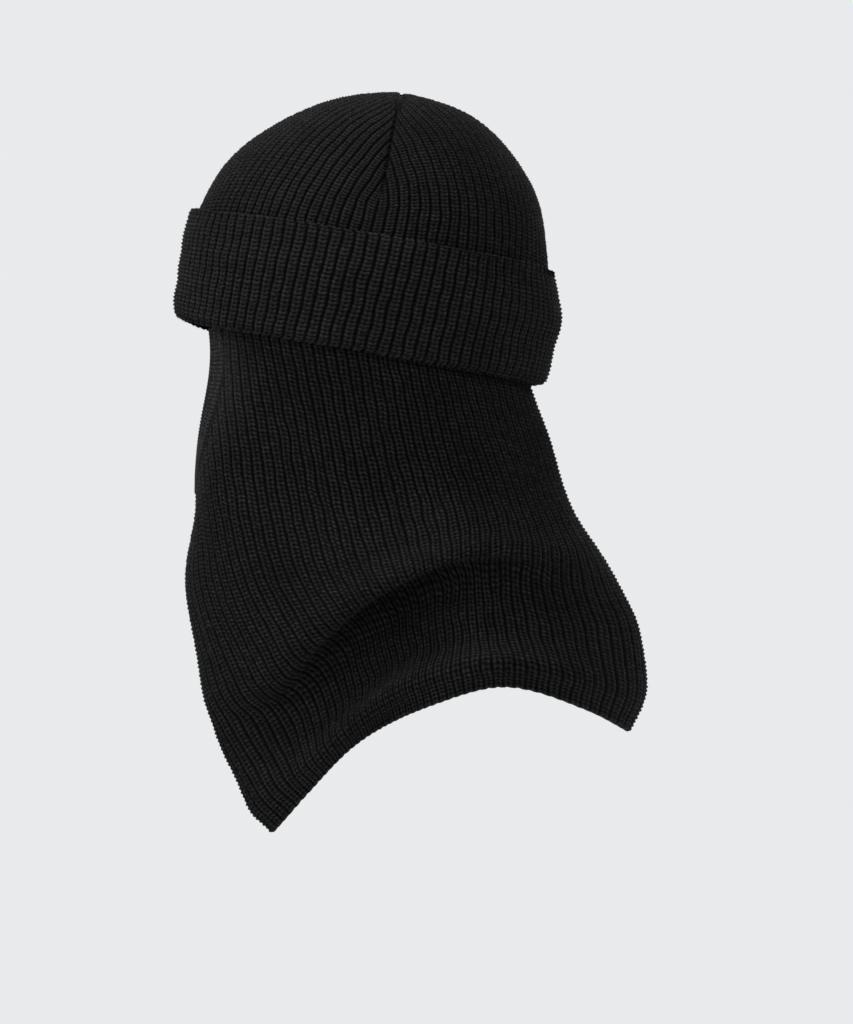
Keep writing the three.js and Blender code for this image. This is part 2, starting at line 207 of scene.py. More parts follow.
class Mesh:
    """Points and triangles that are gathered piece by piece, with a bake map and a value of painted
    shade.
    """

    def __init__(self):
        self.points = []
        self.painted_shade = []
        self.faces = []
        self.maps = []
        self.count = 0

    def add_points(self, points, painted_shade):
        start = self.count
        self.points.append(points.reshape(-1, 3))
        self.painted_shade.append(np.broadcast_to(painted_shade, points.shape[:-1]).ravel())
        self.count += points.reshape(-1, 3).shape[0]
        return start

    def add_triangles(self, corners, uv):
        """corners is (n, 3) point numbers, and uv is (n, 3, 2); thin ones are dropped."""
        a, b, c = corners.T
        real = (a != b) & (b != c) & (a != c)
        self.faces.append(corners[real])
        self.maps.append(uv[real])

    def add_grid(self, ids, u, v, wrap, flip=False):
        """Triangles over a grid of point numbers, (rows, columns)."""
        if wrap:
            ids = np.concatenate([ids, ids[:, :1]], axis=1)
        rows, columns = ids.shape
        uu = np.linspace(u[0], u[1], columns)[None].repeat(rows, 0)
        vv = np.linspace(v[0], v[1], rows)[:, None].repeat(columns, 1)
        uv = np.stack([uu, vv], axis=2)
        quad = [(slice(None, -1), slice(None, -1)), (slice(1, None), slice(None, -1)),
                (slice(1, None), slice(1, None)), (slice(None, -1), slice(1, None))]
        corner = [ids[q].ravel() for q in quad]
        spot = [uv[q].reshape(-1, 2) for q in quad]
        order = [(0, 1, 2), (0, 2, 3)]
        if flip:
            order = [(0, 2, 1), (0, 3, 2)]
        for i, j, k in order:
            self.add_triangles(np.stack([corner[i], corner[j], corner[k]], 1),
                               np.stack([spot[i], spot[j], spot[k]], 1))

    def object(self, name, material, slot, node):
        points = np.concatenate(self.points) * MM
        faces = np.concatenate(self.faces)
        maps = np.concatenate(self.maps).reshape(-1, 2)
        painted_shade = np.concatenate(self.painted_shade)
        # Two triangles that lie back to back on the same three points are both left out.
        _, alike, times = np.unique(np.sort(faces, axis=1), axis=0, return_inverse=True,
                                    return_counts=True)
        single = times[alike.ravel()] == 1
        faces, maps = faces[single], maps.reshape(-1, 3, 2)[single].reshape(-1, 2)
        used, faces = np.unique(faces, return_inverse=True)
        faces = faces.reshape(-1, 3)
        points, painted_shade = points[used], painted_shade[used]
        a, b, c = (points[faces[:, i]] for i in range(3))
        if (a * np.cross(b, c)).sum() < 0:
            faces = faces[:, ::-1]
            maps = maps.reshape(-1, 3, 2)[:, ::-1].reshape(-1, 2)
        mesh = bpy.data.meshes.new(name)
        mesh.vertices.add(len(points))
        mesh.vertices.foreach_set("co", points.ravel())
        mesh.loops.add(faces.size)
        mesh.loops.foreach_set("vertex_index", faces.ravel().astype(np.int32))
        mesh.polygons.add(len(faces))
        mesh.polygons.foreach_set("loop_start", np.arange(0, faces.size, 3, dtype=np.int32))
        mesh.update(calc_edges=True)
        mesh.uv_layers.new(name="OFBake").data.foreach_set("uv", maps.ravel())
        # The painted-shade value goes on as the "groove" attribute, which darkens the yarn's colour in
        # grooves and seams.
        groove = mesh.attributes.new("groove", "FLOAT", "POINT")
        groove.data.foreach_set("value", painted_shade.astype(np.float32))
        mesh.shade_smooth()
        mesh.materials.append(material)
        piece = bpy.data.objects.new(name, mesh)
        bpy.context.collection.objects.link(piece)
        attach(piece, "root")
        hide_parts(node)
        return piece


def add_tube(mesh, rings, painted_shade, closed):
    """A closed skin through rings of points, (steps, around, 3): a loop, or with both ends shut."""
    steps, around, _ = rings.shape
    ids = mesh.add_points(rings, painted_shade) + np.arange(steps * around).reshape(steps, around)
    if closed:
        ids = np.concatenate([ids, ids[:1]])
    else:
        ends = mesh.add_points(rings[[0, -1]].mean(axis=1), 0.8)
        ids = np.concatenate([np.full((1, around), ends), ids, np.full((1, around), ends + 1)])
    mesh.add_grid(ids, (0, 1), (0.02, 0.98), wrap=True)


# ---- materials ---------------------------------------------------------------------------


FUZZ_SCALE, STRAND_SCALE, PATCH_SCALE = 900.0, 900.0 * 0.28, 26.0
# How light the yarn is against its colour: between its fibres and from place to place, its own uneven
# tone, and from the tops of its stitches to its grooves, painted light on the tops and painted shade in
# the grooves.
FIBRE_LIGHT, PATCH_LIGHT, GROOVE_PAINTED_SHADE = (0.22, 1.95), (0.85, 1.15), (1.6, 0.08)
SHEEN_TINT = (0.77, 0.77, 0.77, 1)


def yarn_material(name, colour, sheen):
    """Black wool: plied yarn, with painted shade in the grooves and painted light on the stitch tops,
    and a soft sheen of loose fibre.
    """
    material = bpy.data.materials.new(name)
    material.use_nodes = True
    nodes, links = material.node_tree.nodes, material.node_tree.links
    shader = nodes["Principled BSDF"]
    place = nodes.new("ShaderNodeTexCoord")

    def noise(scale, detail, rough=0.6):
        node = nodes.new("ShaderNodeTexNoise")
        node.inputs["Scale"].default_value = scale
        node.inputs["Detail"].default_value = detail
        node.inputs["Roughness"].default_value = rough
        links.new(place.outputs["Object"], node.inputs["Vector"])
        return node

    def spread(source, low, high, start=0.3, end=0.7):
        node = nodes.new("ShaderNodeMapRange")
        node.inputs["From Min"].default_value = start
        node.inputs["From Max"].default_value = end
        node.inputs["To Min"].default_value = low
        node.inputs["To Max"].default_value = high
        links.new(source, node.inputs["Value"])
        return node.outputs["Result"]

    def times(a, b):
        node = nodes.new("ShaderNodeMath")
        node.operation = "MULTIPLY"
        links.new(a, node.inputs[0])
        links.new(b, node.inputs[1])
        return node.outputs["Value"]

    fibre = noise(FUZZ_SCALE, 4.0)
    strand = noise(STRAND_SCALE, 2.0)
    patch = noise(PATCH_SCALE, 3.0)
    # Painted shade and light: the groove attribute darkens the colour in the grooves and seams and
    # lightens it on the tops of the stitches.
    groove = nodes.new("ShaderNodeAttribute")
    groove.attribute_name = "groove"
    tone_and_painted_shade = times(spread(fibre.outputs["Fac"], *FIBRE_LIGHT),
                      spread(patch.outputs["Fac"], *PATCH_LIGHT))
    tone_and_painted_shade = times(tone_and_painted_shade, spread(groove.outputs["Fac"], *GROOVE_PAINTED_SHADE, 0.0, 1.0))
    tint = nodes.new("ShaderNodeVectorMath")
    tint.operation = "SCALE"
    tint.inputs[0].default_value = colour
    links.new(tone_and_painted_shade, tint.inputs["Scale"])
    links.new(tint.outputs["Vector"], shader.inputs["Base Color"])
    links.new(spread(strand.outputs["Fac"], 0.8, 1.0), shader.inputs["Roughness"])
    shader.inputs["Specular IOR Level"].default_value = 0.08
    shader.inputs["Sheen Weight"].default_value = sheen
    shader.inputs["Sheen Roughness"].default_value = 0.45
    shader.inputs["Sheen Tint"].default_value = SHEEN_TINT

    def bump(source, strength, distance):
        node = nodes.new("ShaderNodeBump")
        node.inputs["Strength"].default_value = strength
        node.inputs["Distance"].default_value = distance
        links.new(source, node.inputs["Height"])
        return node

    coarse = bump(strand.outputs["Fac"], 0.7, 0.0005)
    fine = bump(fibre.outputs["Fac"], 0.5, 0.0003)
    links.new(coarse.outputs["Normal"], fine.inputs["Normal"])
    links.new(fine.outputs["Normal"], shader.inputs["Normal"])
    return material


def plain_material(name, colour, roughness):
    material = bpy.data.materials.new(name)
    material.use_nodes = True
    shader = material.node_tree.nodes["Principled BSDF"]
    shader.inputs["Base Color"].default_value = (*colour, 1)
    shader.inputs["Roughness"].default_value = roughness
    return material


# ---- the cap -----------------------------------------------------------------------------


def dome(climb, inset=0.0):
    """Height and girth of the cap at a climb, which is 0 at the dome's base and pi/2 at its point."""
    rise = np.where(climb > 0, (DOME_HEIGHT - inset) * np.sin(climb), DOME_HEIGHT * climb)
    return DOME_BASE + rise, np.where(climb > 0, np.cos(climb), 1.0)


def cap_points(angle, climb, inset=0.0):
    """Points of the cap's outside at an angle from the brow, pulled in by inset."""
    angle, climb = np.broadcast_arrays(angle, np.asarray(climb, float))
    height, scale = dome(climb, inset)
    forward = np.cos(angle)
    front = CAP_FRONT - inset - BROW_TAPER * np.maximum(DOME_BASE - height, 0)
    reach = np.where(forward > 0, front * scale ** BROW_SLOPE, (CAP_BACK - inset) * scale ** NAPE_SLOPE)
    return np.stack([(CAP_WIDTH - inset) * scale * np.sin(angle) * (1 - CAP_EGG * forward),
                     CAP_MIDDLE - reach * forward, height], axis=-1)


def cap_normals(angle, climb):
    step = 1e-3
    climb = np.minimum(climb, math.pi / 2 - 2 * step)
    around = cap_points(angle + step, climb) - cap_points(angle - step, climb)
    up = cap_points(angle, climb + step) - cap_points(angle, climb - step)
    return unit(np.cross(around, up))


def climb_below(height):
    """The climb of a height under the dome's base."""
    return (height - DOME_BASE) / DOME_HEIGHT


def cap_meridian(step):
    """Climbs from the cap's edge to its point, about step apart, and how far along each is."""
    fine = np.linspace(climb_below(CAP_EDGE), math.pi / 2, 600)
    height, scale = dome(fine)
    reach = scale * (CAP_FRONT + CAP_BACK) / 2
    length = np.concatenate([[0], np.cumsum(np.hypot(np.diff(height), np.diff(reach)))])
    at = np.linspace(0, length[-1] - step * 0.5, int(length[-1] / step))
    return np.interp(at, length, fine), at


def gore_spread(scale):
    """How much wider than its share of the ring a gore's ribs run: above 1 the darts cut them."""
    start = math.sqrt(1 - ((GORE_START - DOME_BASE) / DOME_HEIGHT) ** 2)
    return np.where(scale < start, start / np.maximum(scale, 1e-6), 1.0)


def gore_climb(middle, away):
    """The climb where a course that crosses its gore's middle at one climb lies, away from it."""
    return np.where(middle > 0, np.arctan(np.tan(np.maximum(middle, 0)) * np.cos(away)), middle)


def swirled(angle, climb):
    """Below the darts the ribs at the sides lean, brow-wards at their lower ends."""
    drop = np.minimum(dome(climb)[0] - DART_START, 0)
    return angle + SWIRL * drop * np.sin(angle) ** 3


def crown():
    """The cap's body, in four gores whose ribs end in the darts."""
    gores = 4
    ribs = CAP_RIBS // gores
    mesh = Mesh()
    middle, along = cap_meridian(COURSE / ROWS_PER_COURSE)
    rib = rib_columns(ribs)
    quarter = math.pi / 4
    share = (rib / ribs * 2 - 1)[None] + 0 * middle[:, None]
    for _ in range(4):
        climb = gore_climb(middle[:, None], share * quarter)
        share = (rib / ribs * 2 - 1)[None] * gore_spread(dome(climb)[1])
    gone = np.maximum.accumulate(np.abs(share) >= 1, axis=0)
    share = np.clip(share, -1, 1)
    climb = gore_climb(middle[:, None], share * quarter)
    edge_climb = gore_climb(middle, quarter)
    course = (along / COURSE)[:, None]
    rows, columns = climb.shape
    scale = dome(climb)[1]
    seam_depth = SEAM_DEPTH * np.clip((dome(climb)[0] - DART_START + 8) / 10, 0, 1)
    from_seam = (1 - np.abs(share)) * quarter * CAP_BACK * scale
    depth = relief(rib[None], course) + seam_depth * np.exp(-((from_seam / SEAM_SPREAD) ** 2))
    depth = np.minimum(depth, MOST_DEPTH)
    outer, inner = [], []
    coarse = np.arange(0, rows, ROWS_PER_COURSE)
    for side, keep, inset in ((outer, np.arange(rows), 0.0), (inner, coarse, KNIT)):
        seams = []
        for gore in range(gores):
            angle = swirled(np.full(len(keep), 2 * quarter * gore), edge_climb[keep])
            sink = 0.9 * GROOVE_DEPTH + 0.3 * seam_depth[keep, :1] if inset == 0 else 0.0
            point = cap_points(angle, edge_climb[keep], inset)
            point = point - sink * cap_normals(angle, edge_climb[keep])
            # The points along the seams get painted shade of 0.9.
            seams.append(mesh.add_points(tilted(point), 0.9) + np.arange(len(keep)))
        for gore in range(gores):
            angle = swirled(2 * quarter * gore + quarter * (1 + share[keep]), climb[keep])
            down = depth[keep] if inset == 0 else -0.2 * depth[keep]
            turns = (gore + (share[keep] + 1) / 2) / gores
            height_share = along[keep, None] / along[-1]
            lumps = wander(turns, height_share, seed=3, size=0.5)
            down = down + lumps * np.clip(scale[keep] * 3, 0, 1)
            stray = wander(turns, height_share, 14, WOBBLE, WOBBLE_TURNS, least_waves=3, most_waves=9)
            stray = stray * np.clip(from_seam[keep] / 8, 0, 1)
            angle = angle + stray / (CAP_BACK * np.maximum(scale[keep], 0.1))
            point = cap_points(angle, climb[keep], inset)
            point = point - down[..., None] * cap_normals(angle, climb[keep])
            start = mesh.add_points(tilted(point), np.clip(depth[keep] / DEEP, 0, 1))
            ids = start + np.arange(len(keep) * columns).reshape(len(keep), columns)
            left, right = seams[gore][:, None], seams[(gore + 1) % gores][:, None]
            ids = np.where(gone[keep] & (share[keep] < 0), left, ids)
            ids = np.where(gone[keep] & (share[keep] > 0), right, ids)
            side.append(np.concatenate([left, ids], axis=1))
    outer_ids = np.concatenate(outer, axis=1)
    inner_ids = np.concatenate(inner, axis=1)
    mesh.add_grid(outer_ids, (0, 1), (0.02, 0.60), wrap=True, flip=True)
    mesh.add_grid(inner_ids, (0, 1), (0.64, 0.98), wrap=True)
    mesh.add_grid(np.stack([inner_ids[0], outer_ids[0]]), (0, 1), (0.61, 0.63), wrap=True,
                  flip=True)
    for ids, inset, flip in ((outer_ids[-1], 0.8, True), (inner_ids[-1], KNIT, False)):
        top = cap_points(np.zeros(1), np.full(1, math.pi / 2), inset)
        tip = mesh.add_points(tilted(top), 0.9)
        mesh.add_grid(np.stack([ids, np.full_like(ids, tip)]), (0, 1), (0.6, 0.605), wrap=True,
                      flip=flip)
    return mesh


def cuff_section():
    """One turn round the cuff's section, up its outside and down its lining.

    Each row is [height, reach forward, reach back, reach to the side, middle]."""
    rows = [[height, front, back, CUFF_ASPECT * (front + back) / 2, CUFF_MIDDLE]
            for height, front, back in CUFF_OUTSIDE]
    for height, away in CUFF_LINING:
        scale = math.sqrt(1 - max(0.0, (height - DOME_BASE) / DOME_HEIGHT) ** 2)
        front = CAP_FRONT - BROW_TAPER * max(0.0, DOME_BASE - height)
        rows.append([height, (front + 1 + away) * scale ** BROW_SLOPE,
                     (CAP_BACK + 1 + away) * scale ** NAPE_SLOPE, (CAP_WIDTH + 1 + away) * scale,
                     CAP_MIDDLE])
    return np.array(rows)


def cuff():
    """The turned-up cuff: one closed ring of rib knit, up its face, over its top and down inside."""
    mesh = Mesh()
    section = cuff_section()
    smooth = catmull(section, np.linspace(0, len(section), 1500, endpoint=False), True)
    step = np.hypot(np.diff(smooth[:, 0]), np.diff(smooth[:, 3]))
    length = np.concatenate([[0], np.cumsum(step)])
    rows = int(length[-1] / (COURSE / ROWS_PER_COURSE))
    at = np.linspace(0, length[-1], rows, endpoint=False)
    height, front, back, width, middle = (np.interp(at, length, smooth[:, k])[:, None]
                                          for k in range(5))
    rib = rib_columns(CAP_RIBS)[None]
    climb = np.clip((height - CUFF_BOTTOM) / (CUFF_TOP - CUFF_BOTTOM), 0, 1)
    lean = 0.8 * np.sin(2 * np.pi * rib / CAP_RIBS) ** 3
    stray = wander(rib / CAP_RIBS, climb, 15, WOBBLE, WOBBLE_TURNS, least_waves=1, most_waves=4)
    stray = stray / CUFF_REACH
    angle = 2 * np.pi * (rib + lean * (climb - 0.5)) / CAP_RIBS + stray
    forward = np.cos(angle)
    shaping = np.where(forward > 0, front, back) - CUFF_REACH
    grid = np.stack([width * np.sin(angle) * (1 - CAP_EGG * forward),
                     middle - (CUFF_REACH + shaping * forward ** 2) * forward,
                     height + CUFF_LIFT * (1 - climb) * np.maximum(0, forward) ** 8], axis=2)
    loop = np.concatenate([grid[-1:], grid, grid[:1]])
    along = np.roll(grid, -1, axis=1) - np.roll(grid, 1, axis=1)
    normal = unit(np.cross(along, loop[2:] - loop[:-2]))
    turn = rib / CAP_RIBS + 0 * angle
    uneven = wander(turn, climb + 0 * turn, seed=5, size=0.55) * (np.arange(rows) < rows * 0.52)[:, None]
    depth = relief(rib, (at / COURSE)[:, None] + wander(turn, climb, seed=8, size=0.12))
    grid = grid + normal * (uneven - depth)[..., None]
    grid[..., 2] += np.where(height > 28, wander(turn, 0.5 + 0 * turn, seed=9, size=0.5), 0)
    add_tube(mesh, tilted(grid), np.clip(depth / DEEP, 0, 1), closed=True)
    return mesh


# ---- the cape ----------------------------------------------------------------------------


def rib_angles(place):
    """Angles from the brow at which ribs leave the cap's edge, for places from 0 to 12 around it."""
    half = np.radians(CAPE_RIB_ANGLES)
    lead = np.concatenate([half, 2 * math.pi - half[-2:0:-1]])
    drift = lead - np.arange(12) * math.pi / 6
    return place * math.pi / 6 + catmull(drift[:, None], place, True)[:, 0]


def cape_lines(rib):
    """The lines that ribs follow over the cape's smooth outside, from its top edge to the hem."""
    place = rib / CAPE_RIBS * 12
    turn = place * math.pi / 6
    steady, cos_once, sin_once, cos_twice, sin_twice = RIB_SLIP
    slip = (steady + cos_once * np.cos(turn) + sin_once * np.sin(turn)
            + cos_twice * np.cos(2 * turn) + sin_twice * np.sin(2 * turn))
    rings = [tilted(cap_points(rib_angles(place), climb_below(CAP_EDGE - GAP), 1.5))]
    for level, slide in zip(CAPE_LEVELS, RIB_SLIDE):
        half = np.array(level, float)
        ring = np.concatenate([half, half[-2:0:-1] * [-1, 1, 1]])
        rings.append(catmull(ring, place + slide * slip, True))
    return catmull(np.array(rings), np.linspace(0, len(rings) - 1, 900), False)


def cape_surface(rib, share):
    """The cape's smooth outside at a share of the way down each rib, its normal, and the way round."""
    step, down = 0.02, 0.003
    lines = cape_lines(rib)
    along = read_lines(cape_lines(rib + step), share) - read_lines(cape_lines(rib - step), share)
    fall = read_lines(lines, share + down) - read_lines(lines, share - down)
    return read_lines(lines, share), unit(np.cross(fall, along)), unit(along)


def bumps(rows, at):
    return sum(out * np.exp(-(((at - where) / width) ** 2)) for out, where, width in rows)


def cape_folds(rib, share):
    """How far the cloth stands out along the fold's ridge and the rolled hem, and in beside them."""
    lines = cape_lines(rib)
    along = np.cumsum(np.linalg.norm(np.diff(lines, axis=0), axis=2), axis=0)
    below_middle = share * along[-1] - along[len(along) // 2]
    above_hem = (1 - share) * along[-1]
    at_side = np.abs(np.sin(2 * np.pi * rib / CAPE_RIBS))
    return (bumps(FOLD, below_middle) + bumps(HEM_ROLL, above_hem)) * at_side


def cape_courses(rib):
    """Which courses run through each column, from the top down."""
    half = CAPE_RIBS / 2
    from_front = np.minimum(rib, CAPE_RIBS - rib)
    through = [from_front < half * (n + 1) / TOP_SHORT for n in range(TOP_SHORT)]
    short = [from_front < FRONT_REACH * ((n + 1) * OUT_OF_STEP % 1) for n in range(FRONT_SHORT)]
    short += [half - from_front < BACK_REACH * ((n + 1) * OUT_OF_STEP % 1) for n in range(BACK_SHORT)]
    order = iter(np.random.default_rng(6).permutation(len(short)))
    share = len(short) / (FULL_COURSES - SHORT_FROM)
    for course in range(FULL_COURSES):
        below = course - SHORT_FROM
        if below >= 0 and int((below + 1) * share) > int(below * share):
            through.append(short[next(order)])
        through.append(np.ones(len(rib), bool))
    return np.array(through)


def cape():
    rib = rib_columns(CAPE_RIBS)
    through = np.repeat(cape_courses(rib), ROWS_PER_COURSE, axis=0)
    through = np.concatenate([np.ones((1, len(rib)), bool), through])
    count = np.cumsum(through, axis=0) - 1
    rows = len(through)
    grid, normal, along = cape_surface(rib, count / count[-1])
    margin = BAND_WIDTH * 0.55
    oval = ((grid[..., 0] / (OPENING_HALF_WIDTH + margin)) ** 2
            + ((grid[..., 2] - OPENING_CENTRE) / (OPENING_HALF_HEIGHT + margin)) ** 2)
    inside = (oval < 1) & (grid[..., 1] < 0)
    last = int(np.flatnonzero(inside.any(axis=1)).max())
    chin = (last // ROWS_PER_COURSE + 1) * ROWS_PER_COURSE
    columns = len(rib)
    right = inside & (np.arange(columns) < columns // 2)[None]
    left = inside & (np.arange(columns) >= columns // 2)[None]
    right[:chin, 0] = True
    left[:chin, -1] = True
    turn = np.broadcast_to(rib[None] / CAPE_RIBS, inside.shape)
    down_share = count / count[-1]
    near_edge = np.where(grid[..., 1] < -30, np.clip((np.sqrt(oval) - 1.0) / 0.35, 0, 1), 1)
    depth = relief(rib[None], count / ROWS_PER_COURSE, 0.45 + 0.55 * near_edge, CAPE_CREASE)
    lumps = wander(turn, down_share, seed=12, size=0.6) + cape_folds(rib, down_share)
    stray = wander(turn, down_share, 16, WOBBLE, WOBBLE_TURNS, least_waves=4, most_waves=13)
    stray = stray * near_edge * np.clip(down_share * 20, 0, 1)
    grid = grid + along * stray[..., None]
    mesh = Mesh()
    coarse = np.arange(0, rows, ROWS_PER_COURSE)
    surfaces = []
    for keep, inset in ((np.arange(rows), 0.0), (coarse, KNIT)):
        g, n = grid[keep], normal[keep]
        sunk = depth[keep] if inset == 0 else inset - 0.25 * depth[keep]
        point = g + n * (lumps[keep] - sunk)[..., None]
        start = mesh.add_points(point, np.clip(depth[keep] / DEEP, 0, 1))
        ids = start + np.arange(point.shape[0] * columns).reshape(point.shape[:2])
        for i in range(1, len(keep)):
            ids[i] = np.where(through[keep[i]], ids[i], ids[i - 1])
        edge_right = np.full(len(keep), -1)
        edge_left = np.full(len(keep), -1)
        for i in np.flatnonzero(keep < chin):
            last_right = np.flatnonzero(right[keep[i]]).max()
            first_left = np.flatnonzero(left[keep[i]]).min()
            edge_right[i], edge_left[i] = ids[i, last_right], ids[i, first_left]
            ids[i, :last_right] = edge_right[i]
            ids[i, first_left:] = edge_left[i]
        surfaces.append((ids, edge_left, edge_right))
    for (ids, _, _), v, flip in zip(surfaces, ((0.02, 0.66), (0.72, 0.98)), (False, True)):
        mesh.add_grid(ids, (0, 1), v, wrap=False, flip=flip)
        below = chin if v[0] < 0.5 else chin // ROWS_PER_COURSE
        seam = np.stack([ids[below:, -1], ids[below:, 0]], axis=1)
        mesh.add_grid(seam, (0.999, 1), v, wrap=False, flip=flip)
    return close_cape(mesh, surfaces, chin, np.concatenate(mesh.points))


def close_cape(mesh, surfaces, chin, points):
    """Joins the cape's outside and inside along its top, its hem and both sides of the opening."""
    (outer, outer_left, outer_right), (inner, inner_left, inner_right) = surfaces
    mesh.add_grid(np.stack([inner[0], outer[0]]), (0, 1), (0.985, 0.99), wrap=False)
    middle = (points[outer[-1]] + points[inner[-1]]) / 2
    down = points[outer[-1]] - points[outer[-3]]
    middle += 1.2 * down / np.linalg.norm(down, axis=1, keepdims=True)
    lip = mesh.add_points(middle, 0.3) + np.arange(len(middle))
    mesh.add_grid(np.stack([outer[-1], lip, inner[-1]]), (0, 1), (0.67, 0.71), wrap=True)
    coarse_chin = chin // ROWS_PER_COURSE
    for outer_edge, inner_edge, column, flip in ((outer_left, inner_left, -1, False),
                                                (outer_right, inner_right, 0, True)):
        outside = np.append(outer_edge[:chin], outer[chin, column])
        lining = np.append(inner_edge[:coarse_chin], inner[coarse_chin, column])
        for i in range(coarse_chin):
            a = outside[i * ROWS_PER_COURSE:(i + 1) * ROWS_PER_COURSE + 1]
            fan = [(a[k], a[k + 1], lining[i]) for k in range(len(a) - 1)]
            fan.append((a[-1], lining[i + 1], lining[i]))
            fan = np.array(fan)
            fan = fan[:, ::-1] if flip else fan
            uv = np.zeros((len(fan), 3, 2)) + [0.5, 0.995]
            mesh.add_triangles(fan, uv)
    chin_edge = np.array([[outer[chin, -1], outer[chin, 0]],
                          [inner[coarse_chin, -1], inner[coarse_chin, 0]]])
    mesh.add_grid(chin_edge, (0.5, 0.51), (0.992, 0.994), wrap=False)
    return mesh


# ---- the band, the seams and the label ---------------------------------------------------


class CapeSkin:
    """The cape's smooth outside, met by lines that run front to back."""

    def __init__(self):
        rib = np.arange(0, CAPE_RIBS, 0.25)
        grid = read_lines(cape_lines(rib), np.linspace(0, 1, 220)[:, None])
        above = grid[:1] + 14 * unit(grid[:1] - grid[2:3])
        grid = np.concatenate([above, grid])
        rows, columns = grid.shape[:2]
        ids = np.arange(rows * columns).reshape(rows, columns)
        turned = np.roll(ids, -1, axis=1)
        quads = np.stack([ids[:-1], ids[1:], turned[1:], turned[:-1]], axis=-1).reshape(-1, 4)
        self.tree = BVHTree.FromPolygons(grid.reshape(-1, 3).tolist(), quads.tolist())

    def at(self, side, height, front):
        """The skin's point and outward normal at a side and a height, in front or at the back."""
        start = Vector((side, -300 if front else 0, height))
        point, normal, _, _ = self.tree.ray_cast(start, Vector((0, 1, 0)))
        if (normal.y > 0) == front:
            normal = -normal
        return np.array(point), np.array(normal)


def cap_height(point):
    """A point's height in the cap's upright frame."""
    return point[1] * math.sin(TILT) + point[2] * math.cos(TILT)


def opening_turns(skin, step):
    """Turns round the face opening about step apart, 0 at the chin, and how far along each is."""
    def place(turn, margin):
        return skin.at((OPENING_HALF_WIDTH + margin) * math.sin(turn),
                       OPENING_CENTRE - (OPENING_HALF_HEIGHT + margin) * math.cos(turn), True)

    fine = np.linspace(0, 2.05, 240)
    path = np.array([place(turn, BAND_WIDTH)[0] for turn in fine])
    fine = fine[[cap_height(point) < CAP_EDGE - GAP - 1 for point in path]]
    path = path[:len(fine)]
    length = np.concatenate([[0], np.cumsum(np.linalg.norm(np.diff(path, axis=0), axis=1))])
    count = int(length[-1] / step)
    at = np.linspace(0, length[-1], count)
    turn = np.interp(at, length, fine)
    return place, np.concatenate([-turn[:0:-1], turn]), np.concatenate([-at[:0:-1], at])


def band(skin):
    """The knitted band round the face opening, which grips the cape's edge from both sides."""
    place, turns, at = opening_turns(skin, COURSE / ROWS_PER_COURSE)
    face = np.arange(0.8, BAND_WIDTH + 0.01, 0.45)
    lining = np.arange(BAND_WIDTH, 0.6, -1.2)
    back = KNIT + BAND_PROUD
    edges = [[BAND_WIDTH + 0.15, 0.7], [BAND_WIDTH + 0.15, back - 1.6]]
    rim = [[0.2, back - 0.9], [0, back / 2 - 0.3], [0.2, 0.0]]
    section = np.array([*[[m, -BAND_PROUD] for m in face], *edges,
                        *[[m, back - 0.2] for m in lining], *rim])
    across = section[:, 0] / BAND_WIDTH * 3
    from_groove = np.abs(across - np.round(across))
    stitch = 1 - np.abs(np.sin(np.pi * (at[:, None] / COURSE - 0.5 * np.abs(across % 1 - 0.5)))) ** 0.7
    depth = 0.35 * np.exp(-((from_groove / 0.16) ** 2)) + 0.95 * stitch
    depth = depth * (np.arange(len(section)) < len(face))
    rings = np.empty((len(turns), len(section), 3))
    for i, turn in enumerate(turns):
        for k, (margin, sink) in enumerate(section):
            point, normal = place(turn, margin)
            rings[i, k] = point - normal * (sink + depth[i, k])
    mesh = Mesh()
    add_tube(mesh, rings, np.clip(depth / 1.4, 0, 1), closed=False)
    return mesh


def chain(centre, across, out, closed, pitch=3.0):
    """A linked seam: a flat chain of loops along a path."""
    length = np.concatenate([[0], np.cumsum(np.linalg.norm(np.diff(centre, axis=0), axis=1))])
    at = np.linspace(0, length[-1], int(length[-1] / 0.7), endpoint=not closed)
    whole = round(length[-1] / pitch)
    centre, across, out = (np.stack([np.interp(at, length, line[:, k]) for k in range(3)], axis=1)
                           for line in (centre, unit(across), unit(out)))
    swell = np.abs(np.sin(np.pi * whole * at / length[-1])) ** 0.6
    turn = np.linspace(0, 2 * np.pi, 12, endpoint=False)
    wide = (SEAM_WIDTH / 2) * (0.72 + 0.26 * swell)[:, None] * np.cos(turn)
    thick = (SEAM_THICKNESS / 2) * (0.62 + 0.34 * swell)[:, None] * np.sin(turn)
    rings = centre[:, None] + wide[..., None] * across[:, None] + thick[..., None] * out[:, None]
    mesh = Mesh()
    # Painted shade: the thread is darkened where the chain narrows between its loops.
    add_tube(mesh, rings, np.broadcast_to((0.9 - 0.7 * swell)[:, None], wide.shape), closed)
    return mesh


def dart_seam(quarter):
    fine = np.linspace(0, math.pi / 2, 400)
    height, scale = dome(fine)
    climb = fine[(height > DART_START + 1) & (scale * CAP_WIDTH > DART_CLEAR + 1.5)]
    angle = np.full(len(climb), quarter * math.pi / 2)
    inset = KNIT + GAP + SEAM_THICKNESS / 2
    centre = cap_points(angle, climb, inset)
    out = cap_normals(angle, climb)
    across = np.cross(np.gradient(centre, axis=0), out)
    return chain(tilted(centre), tilted(across), tilted(out), closed=False)


def join_seam():
    angle = np.linspace(0, 2 * math.pi, 600)
    inset = KNIT + GAP + SEAM_THICKNESS / 2
    climb = np.full(len(angle), climb_below(CAP_EDGE + 1.9))
    centre = cap_points(angle, climb, inset)
    up = np.broadcast_to([0.0, 0.0, 1.0], centre.shape)
    return chain(tilted(centre), tilted(up), tilted(cap_normals(angle, climb)), closed=True)


